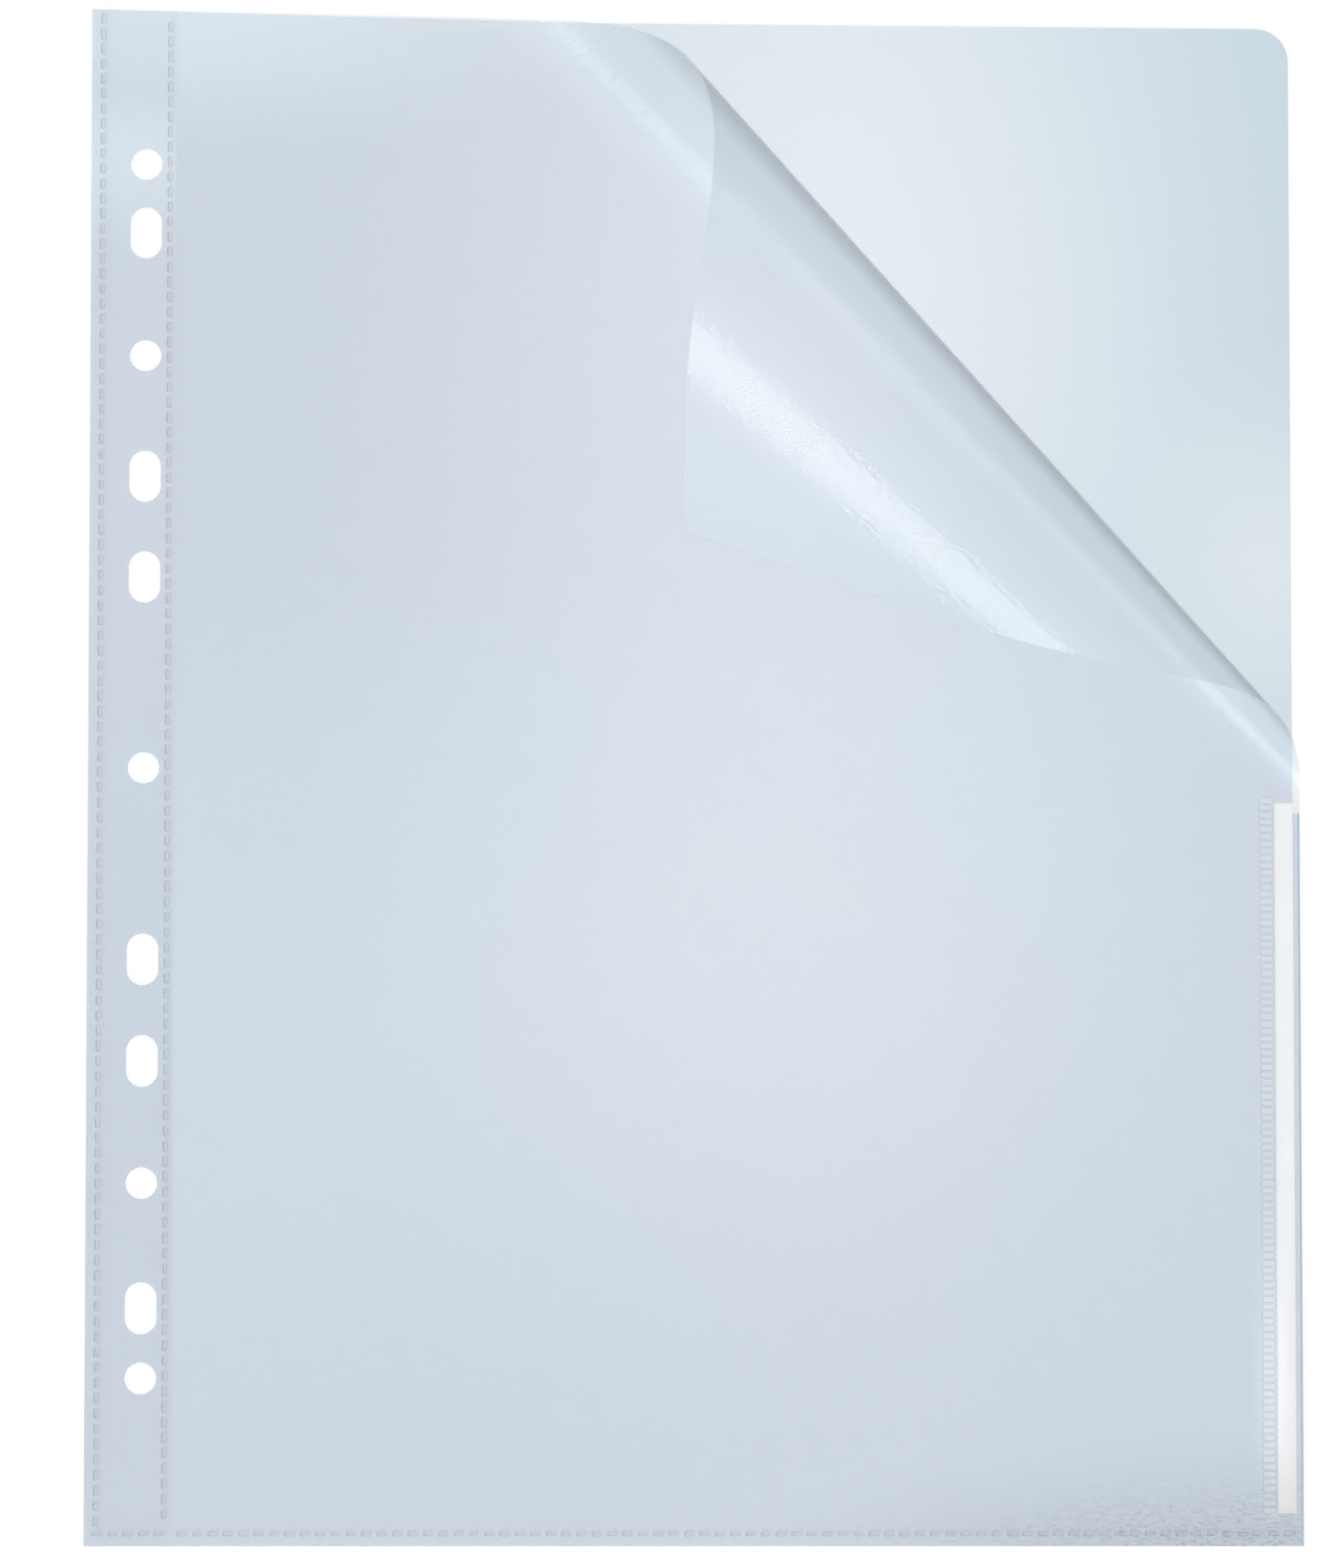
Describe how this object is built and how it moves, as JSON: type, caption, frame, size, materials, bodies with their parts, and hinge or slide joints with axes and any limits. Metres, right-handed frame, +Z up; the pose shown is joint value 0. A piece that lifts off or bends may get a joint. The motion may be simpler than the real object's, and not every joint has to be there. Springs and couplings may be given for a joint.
{
  "type": "punched pocket folder",
  "caption": "Clear A4 punched pocket with binding margin, side label channel and a front corner that rolls back to open it.",
  "frame": {"origin": "on the table under the middle of the pocket's outline", "axes": "+X across the page from the binding margin to the label side, +Y up the page to the open top, +Z up from the table"},
  "size_m": [0.2382, 0.3038, 0.0415],
  "materials": {
    "film": "clear embossed polypropylene film, faintly blue",
    "weld": "melted film, paler than the sheet",
    "label_paper": "matt white paper"
  },
  "bodies": {
    "pocket": {"back_sheet": "film", "front_sheet": "film", "side_fold": "film", "bottom_weld": "weld", "label_weld": "weld"},
    "margin": {"margin_back": "film", "margin_front": "film", "outer_margin_weld": "weld", "inner_margin_weld": "weld", "margin_bottom_weld": "weld"},
    "label": {"label_strip": "label_paper"},
    "flap_01": {"flap_strip_01": "film"},
    "flap_02": {"flap_strip_02": "film"},
    "flap_03": {"flap_strip_03": "film"},
    "flap_04": {"flap_strip_04": "film"},
    "flap_05": {"flap_strip_05": "film"},
    "flap_06": {"flap_strip_06": "film"},
    "flap_07": {"flap_strip_07": "film"},
    "flap_08": {"flap_strip_08": "film"},
    "flap_09": {"flap_strip_09": "film"},
    "flap_10": {"flap_strip_10": "film"},
    "flap_11": {"flap_strip_11": "film"},
    "flap_tip": {"flap_corner": "film"}
  },
  "joints": [
    {"name": "margin_fold", "type": "hinge", "parent": "pocket", "child": "margin", "pos_m": [-0.1025, 0, 0.00096], "axis": [0, 1, 0], "range_deg": [0, 90]},
    {"name": "label_slide", "type": "slide", "parent": "pocket", "child": "label", "axis": [0, 1, 0], "range_m": [0, 0.13]},
    {"name": "flap_roll_01", "type": "hinge", "parent": "pocket", "child": "flap_01", "pos_m": [0.04015, 0.07181, 0.00087], "axis": [0.7112, -0.703, 0], "range_deg": [-19.11, 0]},
    {"name": "flap_roll_02", "type": "hinge", "parent": "flap_01", "child": "flap_02", "pos_m": [0.04584, 0.07348, 0.00267], "axis": [0.6955, -0.7185, -0.0076], "range_deg": [-19.11, 0]},
    {"name": "flap_roll_03", "type": "hinge", "parent": "flap_02", "child": "flap_03", "pos_m": [0.05064, 0.07466, 0.00601], "axis": [0.682, -0.731, -0.0221], "range_deg": [-19.11, 0]},
    {"name": "flap_roll_04", "type": "hinge", "parent": "flap_03", "child": "flap_04", "pos_m": [0.05425, 0.07505, 0.0105], "axis": [0.6723, -0.7391, -0.0417], "range_deg": [-19.11, 0]},
    {"name": "flap_roll_05", "type": "hinge", "parent": "flap_04", "child": "flap_05", "pos_m": [0.05647, 0.07448, 0.01563], "axis": [0.6675, -0.7419, -0.0644], "range_deg": [-19.11, 0]},
    {"name": "flap_roll_06", "type": "hinge", "parent": "flap_05", "child": "flap_06", "pos_m": [0.0572, 0.0729, 0.02083], "axis": [0.6679, -0.7391, -0.0876], "range_deg": [-19.11, 0]},
    {"name": "flap_roll_07", "type": "hinge", "parent": "flap_06", "child": "flap_07", "pos_m": [0.05649, 0.0704, 0.02554], "axis": [0.6737, -0.7309, -0.1087], "range_deg": [-19.11, 0]},
    {"name": "flap_roll_08", "type": "hinge", "parent": "flap_07", "child": "flap_08", "pos_m": [0.05447, 0.06718, 0.02928], "axis": [0.6842, -0.7184, -0.1255], "range_deg": [-19.11, 0]},
    {"name": "flap_roll_09", "type": "hinge", "parent": "flap_08", "child": "flap_09", "pos_m": [0.05114, 0.06326, 0.03184], "axis": [0.6994, -0.7015, -0.1368], "range_deg": [-19.11, 0]},
    {"name": "flap_roll_10", "type": "hinge", "parent": "flap_09", "child": "flap_10", "pos_m": [0.04634, 0.05873, 0.03276], "axis": [0.7193, -0.6803, -0.1407], "range_deg": [-19.11, 0]},
    {"name": "flap_roll_11", "type": "hinge", "parent": "flap_10", "child": "flap_11", "pos_m": [0.03974, 0.05388, 0.03129], "axis": [0.7438, -0.6549, -0.1334], "range_deg": [-19.11, 0]},
    {"name": "flap_roll_12", "type": "hinge", "parent": "flap_11", "child": "flap_tip", "pos_m": [0.02953, 0.04898, 0.02556], "axis": [0.7752, -0.6227, -0.1064], "range_deg": [-19.11, 0]}
  ]
}
